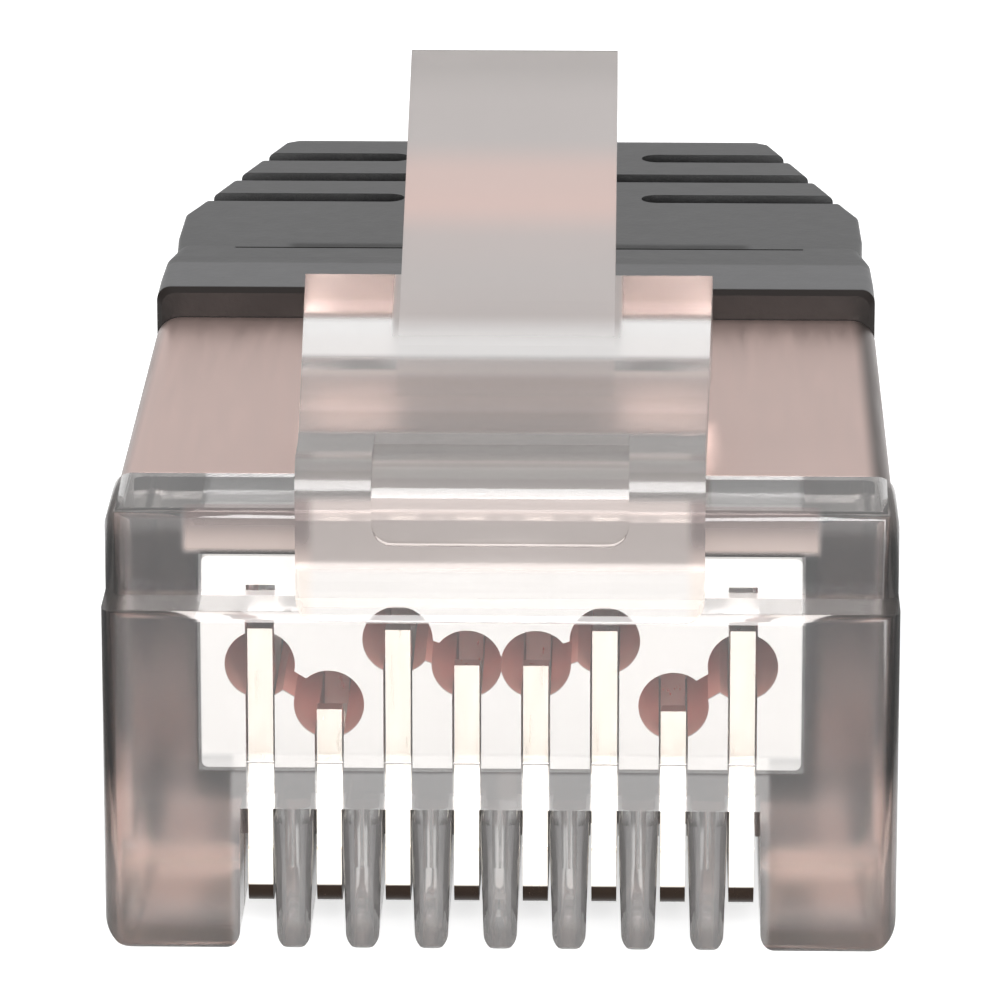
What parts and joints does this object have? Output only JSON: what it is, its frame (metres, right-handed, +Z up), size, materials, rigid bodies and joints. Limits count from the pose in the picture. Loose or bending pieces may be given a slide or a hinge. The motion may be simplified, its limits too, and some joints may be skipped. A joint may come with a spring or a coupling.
{
  "type": "modular plug",
  "caption": "Shielded modular data plug: clear ribbed nose with gold contact blades and a wire manager, folded metal shield, spring latch with raised tab, and slotted strain-relief boot.",
  "frame": {"origin": "middle of the plug's length and width at its underside, where it rests", "axes": "+Y runs from the contact nose to the cable end of the boot, along the longest extent; +Z is up, from the contact side to the latch side; +X runs across the contacts, from contact 1 to contact 8"},
  "size_m": [0.0116, 0.0234, 0.0111],
  "materials": {
    "clear_plastic": "clear moulded plastic with a light smoke tint, polished",
    "white_plastic": "opaque white moulded plastic",
    "gold_contact": "gold-plated stamped blade",
    "shield_metal": "warm nickel-plated folded sheet, satin",
    "boot_elastomer": "dark grey moulded elastomer, satin"
  },
  "bodies": {
    "plug": {"housing": "clear_plastic", "wire_manager": "white_plastic", "contact_1": "gold_contact", "contact_2": "gold_contact", "contact_3": "gold_contact", "contact_4": "gold_contact", "contact_5": "gold_contact", "contact_6": "gold_contact", "contact_7": "gold_contact", "contact_8": "gold_contact", "shield": "shield_metal", "boot": "boot_elastomer"},
    "latch": {"latch": "clear_plastic"}
  },
  "joints": [
    {"name": "latch_flex", "type": "hinge", "parent": "plug", "child": "latch", "pos_m": [0, -0.01112, 0.0063], "axis": [-1, 0, 0], "range_deg": [0, 3], "stiffness_Nm_per_rad": 0.3}
  ]
}
